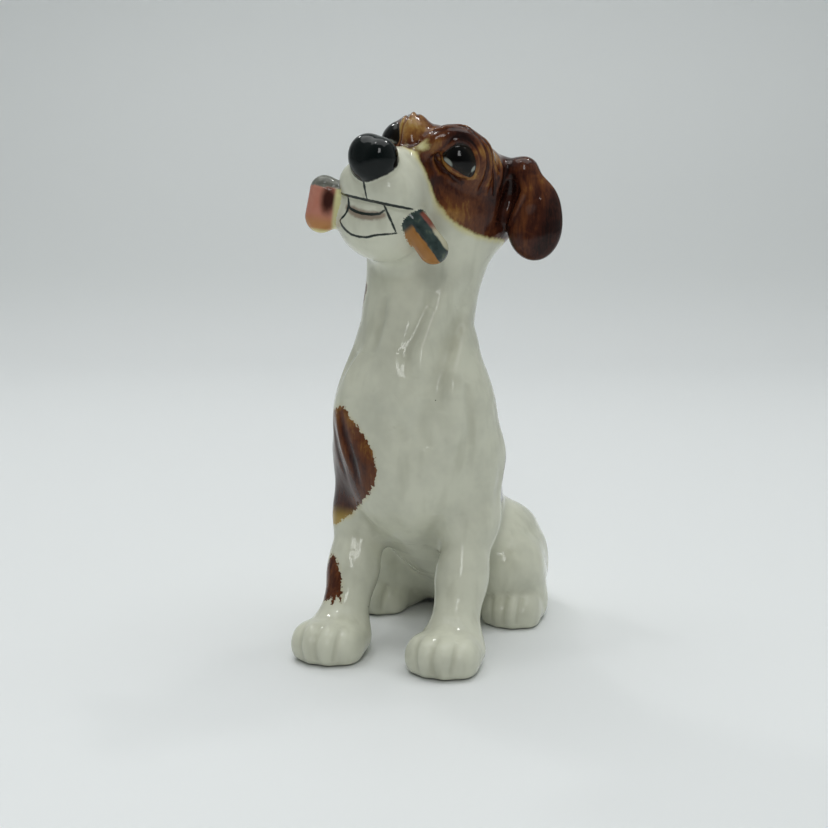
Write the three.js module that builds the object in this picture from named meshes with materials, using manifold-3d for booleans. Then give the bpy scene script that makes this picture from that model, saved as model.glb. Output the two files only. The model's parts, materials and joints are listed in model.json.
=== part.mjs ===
// Seated terrier figurine in glazed, slip-cast ceramic, with a slipper held crosswise in its mouth.
// Millimetres, +Z up. The forms are laid out with x to the dog's left, y to its back and z up, and
// the whole figure is then moved so that the middle of its footprint stands on the origin.
// Each casting is an ellipsoid-and-limb form whose skin is found from a spine inside it. The body and
// the head are hollow with a WALL-thick shell, and every luted joint leaves a gap of SLIP.
import * as THREE from "three";
import { mergeVertices } from "three/addons/utils/BufferGeometryUtils.js";
import Module from "manifold-3d";

// ---- driving dimensions -------------------------------------------------------------------------
const WALL = 3.0; // cast wall of the hollow body and head
const SLIP = 0.3; // gap at each luted joint
const VENT_R = 2.6; // kiln vent under the rump
const VENT_Y = 29.0; // its place behind the forepaws
const NECK_Z = 80.5; // height of the neck joint on the neck's middle line
const NECK_LEAN = [0.06, -0.22, 1.0]; // direction the neck joint faces
const HEAD_AT = [4.7, 6.3, 100.8]; // middle of the skull
const HEAD_TURN = { yaw: -15.3, lift: -15, tilt: 15.9 }; // degrees
const STANCE = 12.0; // half of the distance between the forelegs at the shoulder
const PAW_OUT = 13.0; // half of the distance between the forepaws
const PAW_FRONT = -18.6; // middle of a forepaw
const HOCK_OUT = 16.6; // half of the distance between the hind paws
const HOCK_FRONT = 20.5; // middle of a hind paw
const THIGH_IN = 9.0; // how near the middle line a thigh's casting reaches

// ---- forms --------------------------------------------------------------------------------------
const turned = (x, y, z) =>
  new THREE.Matrix4().makeRotationFromEuler(
    new THREE.Euler(...[x, y, z].map(THREE.MathUtils.degToRad), "ZYX"),
  );
const WORLD = new THREE.Matrix4();
const HEAD = turned(0, 0, HEAD_TURN.yaw)
  .multiply(turned(HEAD_TURN.lift, 0, 0))
  .multiply(turned(0, HEAD_TURN.tilt, 0))
  .setPosition(...HEAD_AT);
const SIDE_ON = [-0.61, 0.81, 0.08]; // the slipper's broad faces look this way, in the head's axes

// Signed distance to an ellipsoid, close to exact near its skin.
function egg(centre, radii, { turn = WORLD, frame = WORLD } = {}) {
  const c = new THREE.Vector3(...centre).applyMatrix4(frame);
  const back = new THREE.Matrix4().extractRotation(frame).multiply(turn).transpose();
  const [a, b, d] = radii;
  const q = new THREE.Vector3();
  return (p) => {
    q.copy(p).sub(c).applyMatrix4(back);
    const k0 = Math.hypot(q.x / a, q.y / b, q.z / d);
    const k1 = Math.hypot(q.x / a ** 2, q.y / b ** 2, q.z / d ** 2);
    return (k0 * (k0 - 1)) / Math.max(k1, 1e-9);
  };
}

// Signed distance to a limb: the hull of two spheres.
function limb(from, ra, to, rb, { frame = WORLD } = {}) {
  const a = new THREE.Vector3(...from).applyMatrix4(frame);
  const ab = new THREE.Vector3(...to).applyMatrix4(frame).sub(a);
  const l2 = ab.lengthSq();
  const rr = ra - rb;
  const a2 = l2 - rr * rr;
  const pa = new THREE.Vector3();
  const w = new THREE.Vector3();
  return (p) => {
    pa.copy(p).sub(a);
    const y = pa.dot(ab);
    const z = y - l2;
    const x2 = w.copy(pa).multiplyScalar(l2).addScaledVector(ab, -y).lengthSq();
    const y2 = y * y * l2;
    const z2 = z * z * l2;
    const k = Math.sign(rr) * rr * rr * x2;
    if (Math.sign(z) * a2 * z2 > k) return Math.sqrt(x2 + z2) / l2 - rb;
    if (Math.sign(y) * a2 * y2 < k) return Math.sqrt(x2 + y2) / l2 - ra;
    return (Math.sqrt((x2 * a2) / l2) + y * rr) / l2 - ra;
  };
}

// Clay forms pressed together: each one blends over its own width k into those before it.
function clay(...lumps) {
  const blend = (a, b, k) => {
    const h = Math.max(k - Math.abs(a - b), 0) / k;
    return Math.min(a, b) - h * h * k * 0.25;
  };
  return (p) =>
    lumps.reduce((d, { form, k }) => blend(d, form(p), k), 99);
}
const add = (form, k) => ({ form, k });
const sides = (make) => [make(1), make(-1)].flat();

const torsoForm = clay(
  add(egg([0, -1.5, 49], [15.3, 15.3, 17]), 6), // ribcage
  add(egg([0, 2, 39], [16, 17, 17]), 8),
  add(limb([0, -5, 38], 12.4, [1.2, 13, 21], 8.6), 7), // brisket
  add(egg([0, 15, 29], [13.5, 17, 16]), 8), // loin
  add(egg([0, 29, 15], [13.6, 15, 15.4]), 8), // rump
  add(limb([-0.2, -3, 60], 12.6, [-1.3, 1, 71], 10.7), 8),
  add(limb([-1.3, 1, 71], 10.7, [0.2, 4.4, 88], 13.8), 6), // neck
  add(egg([-10.1, -1.5, 63.5], [4.2, 6, 7]), 3), // points of the shoulders
  add(egg([9.4, -1.5, 64], [3.8, 6, 7]), 3),
  ...sides((s) => add(egg([s * 11, -5, 50.5], [6.3, 9, 12]), 6)),
);

const headForm = clay(
  add(egg([0, 2, 0.2], [12, 13, 11.2], { frame: HEAD }), 4), // skull
  add(egg([-0.6, -8.4, 5.2], [7.2, 8, 5.5], { frame: HEAD }), 4), // forehead
  ...sides((s) => [
    add(egg([s * 6.8, -4.5, -6], [6.4, 9.5, 7], { frame: HEAD }), 5), // cheeks
    add(egg([s * 7.6, 5, -3], [6.8, 8.5, 8], { frame: HEAD }), 5),
    add(egg([s * 7.6, -3.5, 4.4], [5.4, 7, 5.6], { frame: HEAD }), 4), // temples
  ]),
  add(limb([0, -9, -1.8], 7.8, [0, -22, -4.8], 6.4, { frame: HEAD }), 4), // muzzle
  ...sides((s) => add(egg([s * 4.4, -21.4, -7.4], [5, 7, 4.8], { frame: HEAD }), 3)), // flews
  add(limb([0, -1, -11], 8.8, [0, -11, -13], 7, { frame: HEAD }), 4), // throat
  add(egg([-0.6, -17.2, -14.3], [9.6, 8.8, 7.2], { frame: HEAD }), 3), // lower jaw
);

// Small lumps pressed onto the head: each is [from, radius, to, radius].
const BROWS = [
  [[4.6, -16.6, 5.4], 2.2, [6.6, -14.2, 7.9], 2.6],
  [[6.6, -14.2, 7.9], 2.6, [9.8, -9, 8], 2.8],
  [[-2.6, -16.2, 5.8], 2.2, [-4.6, -13.8, 7.9], 2.6],
  [[-4.6, -13.8, 7.9], 2.6, [-8.6, -8.8, 6.4], 2.8],
];
const EYES = [[9, -11.7, 4.8], [-9, -11.7, 4.8]];
const EYE_R = 3.8;
const NOSE = { at: [0, -28.2, -2.4], radii: [5.3, 3.8, 4.8] };

// The left ear hangs out from the head and the right one lies back along it.
const EARS = {
  left: {
    root: [[9.5, 3.8, 5.6], 4.4, [14.6, 3, 8], 2.9],
    fold: [[14.6, 3, 8], 2.9, [18.6, 4.6, 3], 2.4],
    flap: [
      [[20.2, 6, -0.2], [5.4, 2.4, 8.5]],
      [[20, 6.7, -3], [4.9, 2.6, 5.3]],
    ],
    turn: turned(0, -19, 32),
    spine: [[18.4, 4.8, 5.6], [20.4, 6, -0.2], [21.4, 7.2, -5.4]],
  },
  right: {
    root: [[-9.5, 3.8, 5.6], 4.4, [-14, 5.2, 6.2], 3.4],
    fold: [[-13.4, 5, 6.2], 2.8, [-14.6, 7.4, 3], 2.2],
    flap: [
      [[-14.6, 8.6, -1.4], [4.8, 2.6, 10]],
      [[-14.4, 9.4, -5.4], [5.2, 2.8, 5.8]],
    ],
    turn: turned(0, 6, -52),
    spine: [[-15.1, 7.9, 5.6], [-14.6, 8.6, -1.4], [-14.2, 9.6, -8]],
  },
};

// Each end of the slipper is a bean: a hull of two balls, back and on along it from its middle.
const SLIPPER = {
  toe: {
    at: [10.9, -17, -13],
    along: [0.67, 0.52, -0.52],
    balls: [-3.6, 2.9, 3.4, 3.15],
    waist: [7, -16.6, -11.6],
    waistR: 3.1,
  },
  heel: {
    at: [-13.4, -22.1, -14.2],
    along: [-0.15, -0.2, 0.95],
    balls: [-2.7, 3.5, 3, 3.1],
    waist: [-8.5, -20.6, -12.9],
    waistR: 3.9,
  },
};

const forelegForm = (s) =>
  clay(
    add(limb([s * STANCE, -1.5, 42], 7.4, [s * 12.6, -3.5, 29], 5.9), 4),
    add(limb([s * 12.6, -3.5, 29], 5.9, [s * 12.6, -9, 17], 4.9), 4),
    add(limb([s * 12.6, -9, 17], 4.9, [s * 12.8, -14, 8], 5.2), 4),
    add(egg([s * PAW_OUT, PAW_FRONT, 3.6], [7.6, 9, 5.6]), 3),
    add(egg([s * PAW_OUT, PAW_FRONT - 5.6, 3.4], [7, 5.4, 4.4]), 2), // toes
  );
const hindLegForm = (s) =>
  clay(
    add(egg([s * 12.3, 28, 12.4], [9.2, 15.5, 13.9], { turn: turned(0, s * -8, 0) }), 4),
    add(limb([s * 15.5, 20, 12], 7, [s * 16.4, 23, 5], 5.6), 5),
    add(egg([s * HOCK_OUT, HOCK_FRONT, 3.2], [6.8, 9.6, 5.4]), 3),
    add(egg([s * HOCK_OUT, HOCK_FRONT - 5.6, 2.8], [6.4, 5.2, 4.2]), 2), // toes
  );
const tailForm = clay(
  add(limb([0, 40, 9], 5, [0, 47, 15], 3.6), 3),
  add(limb([0, 47, 15], 3.6, [0.5, 50, 24], 2.2), 3),
);

// ---- solids -------------------------------------------------------------------------------------
const wasm = await Module();
wasm.setup();

function solid(geometry) {
  const bare = geometry.index ? geometry : geometry.clone();
  bare.deleteAttribute("normal");
  bare.deleteAttribute("uv");
  const joined = mergeVertices(bare, 1e-4);
  return new wasm.Manifold(
    new wasm.Mesh({
      numProp: 3,
      vertProperties: new Float32Array(joined.attributes.position.array),
      triVerts: new Uint32Array(joined.index.array),
    }),
  );
}

const STRAIGHT = 0.3; // share of a drawn-out sphere's rows that look straight out from its spine

// A sphere drawn out along a spine, with each vertex then moved out to where the form's distance
// reaches `level`. The sphere's poles lie at the spine's two ends.
function wrap(form, spine, columns, rows, { level = 0, frame = WORLD, across = [1, 0, 0] } = {}) {
  const points = spine.map((p) => new THREE.Vector3(...p).applyMatrix4(frame));
  const curve = new THREE.CatmullRomCurve3(points);
  const ball = new THREE.SphereGeometry(1, columns, rows).rotateX(Math.PI / 2);
  const at = ball.attributes.position;
  const unit = new THREE.Vector3();
  const p = new THREE.Vector3();
  const reference = new THREE.Vector3(...across).transformDirection(frame);
  for (let i = 0; i < at.count; i++) {
    unit.fromBufferAttribute(at, i);
    // u runs from -1 at the first pole to 1 at the last: the middle rows look straight out
    const u = 1 - (2 * Math.acos(THREE.MathUtils.clamp(unit.z, -1, 1))) / Math.PI;
    const t = THREE.MathUtils.clamp(0.5 - u / 1.5, 0, 1);
    const slope = (Math.sign(u) * Math.PI * Math.max(0, (Math.abs(u) - STRAIGHT) / (1 - STRAIGHT))) / 2;
    const around = Math.atan2(unit.y, unit.x);
    const origin = curve.getPoint(t);
    const tangent = curve.getTangent(t).negate();
    const b = tangent.clone().cross(reference).normalize();
    const n = b.clone().cross(tangent);
    const out = n.multiplyScalar(Math.cos(around)).addScaledVector(b, Math.sin(around));
    const ray = out.multiplyScalar(Math.cos(slope)).addScaledVector(tangent, Math.sin(slope));
    // step in from well outside until the skin is met, then halve the last step
    let outside = 70;
    for (let step = 0; step < 200; step++) {
      const d = form(p.copy(origin).addScaledVector(ray, outside)) - level;
      if (d < 0.05 || outside < 0.3) break;
      outside -= Math.min(Math.max(d * 0.7, 0.05), outside - 0.2);
    }
    let inside = Math.max(outside - 0.6, 0.1);
    outside += 0.2;
    for (let step = 0; step < 24; step++) {
      const middle = (inside + outside) / 2;
      if (form(p.copy(origin).addScaledVector(ray, middle)) > level) outside = middle;
      else inside = middle;
    }
    p.copy(origin).addScaledVector(ray, inside);
    at.setXYZ(i, p.x, p.y, p.z);
  }
  return solid(ball);
}

// A block that fills everything on the far side of a plane.
function beyond(point, direction) {
  const block = new THREE.BoxGeometry(300, 300, 300).translate(0, 0, 150);
  const turn = new THREE.Quaternion().setFromUnitVectors(
    new THREE.Vector3(0, 0, 1),
    new THREE.Vector3(...direction).normalize(),
  );
  return solid(block.applyQuaternion(turn).translate(...point));
}

const torsoSpine = [[0, 30, 14], [0, 16, 24], [0, 1, 44], [0, 0, 66], [0.8, 4.4, 88]];
const headSpine = [[0, 4, -1], [0, -9, -3.4], [0, -20, -6.2]];
const body = wrap(torsoForm, torsoSpine, 30, 36);
const bodyGrown = wrap(torsoForm, torsoSpine, 30, 36, { level: SLIP });
const bodyHollow = wrap(torsoForm, torsoSpine, 16, 18, { level: -WALL });
const skull = wrap(headForm, headSpine, 28, 26, { frame: HEAD });
const skullGrown = wrap(headForm, headSpine, 28, 26, { frame: HEAD, level: SLIP });
const skullHollow = wrap(headForm, headSpine, 14, 12, { frame: HEAD, level: -WALL });

const ground = beyond([0, 0, 0], [0, 0, -1]);
const aboveNeck = beyond([0.5, 3, NECK_Z + SLIP / 2], NECK_LEAN);
const aboveNeckCut = beyond([0.5, 3, NECK_Z - SLIP / 2], NECK_LEAN);
const vent = solid(
  new THREE.CylinderGeometry(VENT_R, VENT_R, 12, 24).rotateX(Math.PI / 2).translate(0, VENT_Y, 0),
);

const torso = body.subtract(aboveNeckCut).subtract(bodyHollow).subtract(vent).subtract(ground);
let head = skull.add(body.intersect(aboveNeck));
for (const [from, ra, to, rb] of BROWS)
  head = head.add(
    wrap(limb(from, ra, to, rb, { frame: HEAD }), [from, to], 10, 9, { frame: HEAD, across: [0, 0, 1] }),
  );
for (const at of EYES)
  head = head.add(solid(new THREE.SphereGeometry(EYE_R, 14, 10).translate(...at).applyMatrix4(HEAD)));
const nose = new THREE.SphereGeometry(1, 16, 12).rotateX(Math.PI / 2).scale(...NOSE.radii);
head = head.add(solid(nose.translate(...NOSE.at).applyMatrix4(HEAD)));
head = head.subtract(bodyHollow).subtract(skullHollow);

function ear({ root, fold, flap, turn, spine }) {
  const sheet = clay(...flap.map(([at, radii]) => add(egg(at, radii, { turn, frame: HEAD }), 3)));
  let made = wrap(sheet, spine, 14, 16, { frame: HEAD });
  for (const [from, ra, to, rb] of [root, fold])
    made = made.add(
      wrap(limb(from, ra, to, rb, { frame: HEAD }), [from, to], 12, 10, { frame: HEAD, across: [0, 0, 1] }),
    );
  return made.subtract(skullGrown).subtract(bodyGrown);
}

function slipperEnd({ at, along, balls: [back, backR, on, onR], waist, waistR }) {
  const step = new THREE.Vector3(...along).normalize();
  const end = (d) => new THREE.Vector3(...at).addScaledVector(step, d).toArray();
  const bean = limb(end(back), backR, end(on), onR, { frame: HEAD });
  const stem = limb(waist, waistR, at, waistR * 0.85, { frame: HEAD });
  return wrap(bean, [end(back), end(on)], 14, 14, { frame: HEAD, across: SIDE_ON })
    .add(wrap(stem, [waist, at], 12, 10, { frame: HEAD, across: [0, 0, 1] }))
    .subtract(skullGrown)
    .subtract(bodyGrown);
}

function foreleg(s) {
  const spine = [
    [s * STANCE, -1.5, 42],
    [s * 12.6, -4, 28],
    [s * 12.8, -11, 14],
    [s * PAW_OUT, -17.4, 6],
    [s * PAW_OUT, -18.6, 1.5],
  ];
  return wrap(forelegForm(s), spine, 22, 26).subtract(bodyGrown).subtract(ground);
}

function hindLeg(s, level = 0) {
  const spine = [[s * 12.5, 30, 20], [s * 14, 26, 12], [s * 15.6, 22, 5], [s * 16, 21.4, 1.5]];
  const inner = beyond([s * THIGH_IN, 0, 0], [-s, 0, 0]); // the part of the thigh inside the rump
  return wrap(hindLegForm(s), spine, 22, 24, { level }).subtract(inner).subtract(bodyGrown).subtract(ground);
}

const tail = wrap(tailForm, [[0, 40, 9], [0, 47, 15], [0.5, 50, 24]], 12, 14)
  .subtract(bodyGrown)
  .subtract(hindLeg(1, SLIP))
  .subtract(hindLeg(-1, SLIP));

// ---- scene --------------------------------------------------------------------------------------
const glaze = (name, color, roughness) =>
  new THREE.MeshStandardMaterial({ name, color, roughness, metalness: 0 });
const figurine = new THREE.Group();
figurine.name = "ceramic_dog_figurine";

function place(name, shape, material) {
  const { vertProperties, triVerts } = shape.getMesh();
  const geometry = new THREE.BufferGeometry();
  geometry.setAttribute("position", new THREE.BufferAttribute(new Float32Array(vertProperties), 3));
  geometry.setIndex(new THREE.BufferAttribute(new Uint32Array(triVerts), 1));
  geometry.computeVertexNormals();
  const mesh = new THREE.Mesh(geometry, material);
  mesh.name = name;
  figurine.add(mesh);
}

const white = () => glaze("white_glaze", 0xdedfd6, 0.15);
const brown = () => glaze("brown_glaze", 0x6b3a1c, 0.15);
place("torso", torso, white());
place("head", head, white());
place("ear_left", ear(EARS.left), brown());
place("ear_right", ear(EARS.right), brown());
place("foreleg_left", foreleg(1), white());
place("foreleg_right", foreleg(-1), white());
place("hind_leg_left", hindLeg(1), white());
place("hind_leg_right", hindLeg(-1), white());
place("tail", tail, white());
place("slipper_toe", slipperEnd(SLIPPER.toe), glaze("green_glaze", 0x2f4a3c, 0.15));
place("slipper_heel", slipperEnd(SLIPPER.heel), glaze("pink_glaze", 0xb9705a, 0.15));

// the middle of the footprint's bounding box goes to the origin
const extent = new THREE.Box3().setFromObject(figurine);
figurine.position.set(-(extent.min.x + extent.max.x) / 2, -(extent.min.y + extent.max.y) / 2, -extent.min.z);
figurine.updateMatrixWorld(true);

export default figurine;
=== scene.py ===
# Looks of the seated terrier figurine: slip-cast ceramic, painted by hand under a clear glossy glaze.
# The forms are laid out in millimetres, x to the dog's left, y to its back, z up, and moved to the
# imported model's frame. Each casting is a mesh of its own, cut from one continuous modelled surface.
import json
import math

import bpy
import numpy as np
import openvdb
from mathutils import Matrix, Vector


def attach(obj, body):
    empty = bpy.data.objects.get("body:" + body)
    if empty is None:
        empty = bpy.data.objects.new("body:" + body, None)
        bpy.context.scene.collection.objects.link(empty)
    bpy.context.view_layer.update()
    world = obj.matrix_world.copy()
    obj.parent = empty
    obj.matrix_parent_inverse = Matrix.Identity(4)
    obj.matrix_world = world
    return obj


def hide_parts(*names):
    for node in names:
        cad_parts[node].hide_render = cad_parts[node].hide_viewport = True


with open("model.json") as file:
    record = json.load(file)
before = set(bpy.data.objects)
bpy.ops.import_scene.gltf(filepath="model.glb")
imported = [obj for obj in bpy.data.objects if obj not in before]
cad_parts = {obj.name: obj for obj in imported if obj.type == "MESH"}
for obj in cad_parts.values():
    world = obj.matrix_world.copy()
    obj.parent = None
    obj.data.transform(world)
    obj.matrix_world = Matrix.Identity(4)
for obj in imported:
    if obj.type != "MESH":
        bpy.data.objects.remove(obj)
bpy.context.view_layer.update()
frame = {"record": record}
HEAD_STEP, BODY_STEP = ((0.3, 0.5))  # mm between the surface's points

# ---- clay forms ---------------------------------------------------------------------------------
FAR = 10.0  # mm, the field where no form is near


def turned(x, y, z):
    return np.array(
        Matrix.Rotation(math.radians(z), 3, "Z")
        @ Matrix.Rotation(math.radians(y), 3, "Y")
        @ Matrix.Rotation(math.radians(x), 3, "X")
    )


class Place:
    """An origin and three axes in the figure."""

    def __init__(self, origin=(0, 0, 0), axes=np.eye(3)):
        self.origin, self.axes = np.array(origin, float), np.array(axes, float)

    def at(self, p):
        return self.origin + self.axes @ np.array(p, float)

    def local(self, points):
        return (points - self.origin) @ self.axes


FIGURE = Place()


def aimed(along, across):
    z = np.array(along, float) / np.linalg.norm(along)
    x = np.cross(across, z)
    x /= np.linalg.norm(x)
    return np.stack([x, np.cross(z, x), z], 1)


class Egg:
    def __init__(self, centre, radii, turn=np.eye(3), place=FIGURE):
        self.c, self.r, self.m = place.at(centre), radii, place.axes @ turn
        self.lo, self.hi = self.c - max(radii), self.c + max(radii)

    def d(self, x, y, z):
        x, y, z = x - self.c[0], y - self.c[1], z - self.c[2]
        u, v, w = (self.m[0, i] * x + self.m[1, i] * y + self.m[2, i] * z for i in range(3))
        a, b, c = self.r
        k0 = np.sqrt((u / a) ** 2 + (v / b) ** 2 + (w / c) ** 2)
        k1 = np.sqrt((u / a**2) ** 2 + (v / b**2) ** 2 + (w / c**2) ** 2)
        return k0 * (k0 - 1) / np.maximum(k1, 1e-6)


class Limb:
    def __init__(self, a, ra, b, rb, place=FIGURE):
        self.a, self.b, self.ra, self.rb = place.at(a), place.at(b), ra, rb
        self.lo = np.minimum(self.a - ra, self.b - rb)
        self.hi = np.maximum(self.a + ra, self.b + rb)

    def d(self, x, y, z):
        ab = self.b - self.a
        n2 = ab @ ab
        rr = self.ra - self.rb
        a2 = n2 - rr * rr
        px, py, pz = x - self.a[0], y - self.a[1], z - self.a[2]
        t = px * ab[0] + py * ab[1] + pz * ab[2]
        s = t - n2
        x2 = (px * n2 - t * ab[0]) ** 2 + (py * n2 - t * ab[1]) ** 2 + (pz * n2 - t * ab[2]) ** 2
        t2, s2 = t * t * n2, s * s * n2
        k = np.sign(rr) * rr * rr * x2
        end = np.sqrt(x2 + s2) / n2 - self.rb
        start = np.sqrt(x2 + t2) / n2 - self.ra
        side = (np.sqrt(x2 * a2 / n2) + t * rr) / n2 - self.ra
        return np.where(np.sign(s) * a2 * s2 > k, end, np.where(np.sign(t) * a2 * t2 < k, start, side))


def smooth_path(points, steps=6):
    """A Catmull-Rom curve through the points."""
    p = [np.array(q, float) for q in points]
    if len(p) < 3:
        return np.array(p)
    p = [2 * p[0] - p[1]] + p + [2 * p[-1] - p[-2]]
    out = []
    for i in range(1, len(p) - 2):
        for s in np.arange(steps) / steps:
            a = 2 * p[i] + (p[i + 1] - p[i - 1]) * s
            b = (2 * p[i - 1] - 5 * p[i] + 4 * p[i + 1] - p[i + 2]) * s * s
            c = (3 * p[i] - p[i - 1] - 3 * p[i + 1] + p[i + 2]) * s**3
            out.append(0.5 * (a + b + c))
    return np.array(out + [p[-2]])


class Stroke:
    """A modelling tool drawn along a path: a groove of that depth, or a ridge where it is negative."""

    REACH = 2.6  # widths, past which it leaves no mark

    def __init__(self, points, width, depth, place=FIGURE):
        self.path = np.array([place.at(p) for p in smooth_path(points)])
        self.width, self.depth = width, depth
        self.measure()

    def measure(self):
        reach = self.REACH * self.width
        self.lo, self.hi = self.path.min(0) - reach, self.path.max(0) + reach

    def far(self, x, y, z):
        best = None
        n = len(self.path) - 1
        for i in range(n):
            a, ab = self.path[i], self.path[i + 1] - self.path[i]
            px, py, pz = x - a[0], y - a[1], z - a[2]
            t = np.clip((px * ab[0] + py * ab[1] + pz * ab[2]) / (ab @ ab), 0, 1)
            d2 = (px - t * ab[0]) ** 2 + (py - t * ab[1]) ** 2 + (pz - t * ab[2]) ** 2
            fade = np.sin(math.pi * np.clip((i + t) / n, 0.02, 0.98)) ** 0.5
            if best is None:
                best, strength = d2, fade
            else:
                strength = np.where(d2 < best, fade, strength)
                best = np.minimum(d2, best)
        return best, strength

    def __call__(self, field, x, y, z):
        d2, strength = self.far(x, y, z)
        return field + self.depth * strength * np.exp(-d2 / self.width**2)


def merge(a, b, k):
    h = np.maximum(k - np.abs(a - b), 0) / k
    return np.minimum(a, b) - h * h * k * 0.25


class Add:
    """A form joined on with a fillet of about k millimetres."""

    def __init__(self, form, k):
        self.form, self.k = form, k
        self.lo, self.hi = form.lo - k - 1.5, form.hi + k + 1.5

    def __call__(self, field, x, y, z):
        return merge(field, self.form.d(x, y, z), self.k)


class Cut(Add):
    """A form taken away."""

    def __call__(self, field, x, y, z):
        return -merge(-field, self.form.d(x, y, z), self.k)


def over_grid(steps, axes, start=None):
    """The field of some steps on a grid, each worked out only near its form."""
    shape = tuple(len(a) for a in axes)
    field = np.full(shape, FAR, np.float32) if start is None else start
    for step in steps:
        span = [slice(*np.searchsorted(a, (step.lo[i], step.hi[i]))) for i, a in enumerate(axes)]
        if any(s.start >= s.stop for s in span):
            continue
        x = axes[0][span[0]][:, None, None]
        y = axes[1][span[1]][None, :, None]
        z = axes[2][span[2]][None, None, :]
        field[tuple(span)] = step(field[tuple(span)], x, y, z)
    return field


def at_points(steps, p, start=None):
    field = np.full(len(p), FAR) if start is None else start
    for step in steps:
        near = np.flatnonzero(np.all((p > step.lo) & (p < step.hi), axis=1))
        if len(near):
            field[near] = step(field[near], *p[near].T)
    return field


# ---- the dog's forms ----------------------------------------------------------------------------
def mirrored(make):
    return [step for s in (1, -1) for step in make(s)]


TORSO = [  # chest, belly and rump, then the neck and the shoulders
    Add(Egg((0, -1.5, 49), (15.3, 15.3, 17)), 6),
    Add(Egg((0, 2, 39), (16, 17, 17)), 8),
    Add(Limb((0, -5, 38), 12.4, (1.2, 13, 21), 8.6), 7),
    Add(Egg((0, 15, 29), (13.5, 17, 16)), 8),
    Add(Egg((0, 29, 15), (13.6, 15, 15.4)), 8),
    Add(Limb((-0.2, -3, 60), 12.6, (-1.3, 1, 71), 10.7), 8),
    Add(Limb((-1.3, 1, 71), 10.7, (0.2, 4.4, 88), 13.8), 6),
    Add(Egg((-10.1, -1.5, 63.5), (4.2, 6, 7)), 3),
    Add(Egg((9.4, -1.5, 64), (3.8, 6, 7)), 3),
] + mirrored(lambda s: [Add(Egg((s * 11, -5, 50.5), (6.3, 9, 12)), 6)])


def foreleg(s):
    paw = (s * 13, -18.6, 3.6)
    return [
        Add(Limb((s * 12, -1.5, 42), 7.4, (s * 12.6, -3.5, 29), 5.9), 4),
        Add(Limb((s * 12.6, -3.5, 29), 5.9, (s * 12.6, -9, 17), 4.9), 4),
        Add(Limb((s * 12.6, -9, 17), 4.9, (s * 12.8, -14, 8), 5.2), 4),
        Add(Egg(paw, (7.6, 9, 5.6)), 3),
    ] + [
        Add(Egg((paw[0] + dx, paw[1] + dy, 3.5 + up), (2.9, 4.2, 4.1 + up)), 2.2)
        for dx, dy, up in ((-4.9, -4.9, 0), (-1.8, -6.8, 0.3), (1.9, -6.9, 0.2), (5, -4.8, -0.1))
    ]


def hind_leg(s):
    paw = (s * 16.6, 20.5, 3.2)
    return [
        Add(Egg((s * 12.3, 28, 12.4), (9.2, 15.5, 13.9), turned(0, s * -8, 0)), 4),
        Add(Limb((s * 15.5, 20, 12), 7, (s * 16.4, 23, 5), 5.6), 5),
        Add(Egg(paw, (6.8, 9.6, 5.4)), 3),
    ] + [
        Add(Egg((paw[0] + dx, paw[1] + dy, 3), (2.6, 3.8, 3.8)), 2)
        for dx, dy in ((-4.3, -5.2), (-1.5, -7.0), (1.6, -7.1), (4.5, -5.2))
    ]


TAIL = [
    Add(Limb((0, 40, 9), 5, (0, 47, 15), 3.6), 3),
    Add(Limb((0, 47, 15), 3.6, (0.5, 50, 24), 2.2), 3),
]

# The head's own axes: x to its left, y to its back, z to its crown.
SKULL = Place((4.7, 6.3, 100.8), turned(0, 0, -15.3) @ turned(-15, 0, 0) @ turned(0, 15.9, 0))
SIDE_ON = (-0.61, 0.81, 0.08)


def egg(c, r, turn=np.eye(3)):
    return Egg(c, r, turn, SKULL)


def limb(a, ra, b, rb):
    return Limb(a, ra, b, rb, SKULL)


def chain(points, k):
    """Limbs joined end to end through (x, y, z, radius) points of the head."""
    return [Add(limb(a[:3], a[3], b[:3], b[3]), k) for a, b in zip(points, points[1:])]


BROW = {
    1: [(3.6, -17.9, 3.7, 1.3), (4.6, -16.8, 6.0, 1.6), (6.0, -14.8, 8.0, 2.0), (7.7, -12.3, 8.8, 2.2),
        (9.8, -9.0, 8.2, 2.4)],
    -1: [(-1.8, -17.0, 5.2, 1.2), (-2.8, -15.8, 7.0, 1.6), (-4.3, -14.0, 8.3, 2.0), (-6.4, -11.6, 7.6, 2.2),
         (-8.6, -8.8, 6.4, 2.4)],
}
EYE = {s: (s * 9.0, -11.7, 4.8) for s in (1, -1)}
NOSE = [Add(egg((0, -28.2, -2.5), (5.1, 3.8, 4.8)), 1)] + mirrored(
    lambda s: [Add(egg((s * 2.0, -28.2, -1.5), (3.3, 3.6, 3.6)), 1.5)]
)


def gaze(s):
    """Axes of an eye: x along the lids, y up, z the way it looks."""
    return aimed((s * 0.62, -0.78, -0.06), (0.0, 0.25, 1.0))


def round_eye(s, *points):
    """A path round an eye through (degrees, radius) places; 0 degrees is the outer corner."""
    m = gaze(s) if s > 0 else gaze(s) * np.array((-1, 1, 1))
    path = []
    for degrees, r in points:
        a = math.radians(degrees)
        rise = 3.6 - 0.42 * r  # the face falls away round the eye
        path.append(tuple(np.array(EYE[s]) + m @ np.array((r * math.cos(a), r * math.sin(a), rise))))
    return path


def eyeball(s):
    c, m = np.array(EYE[s]), gaze(s)
    return [Add(egg(c + m @ (s * -0.3, 0.1, 0.3), (4.2, 4.1, 3.3), m @ turned(-20, 0, 0)), 0.15)]


def eye_socket(s):
    c, m = np.array(EYE[s]), gaze(s)
    return [Add(egg(c + m @ (s * 0.9, 0.2, -2.2), (5.2, 4.9, 4.6), m), 3)] + eyeball(s)


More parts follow.
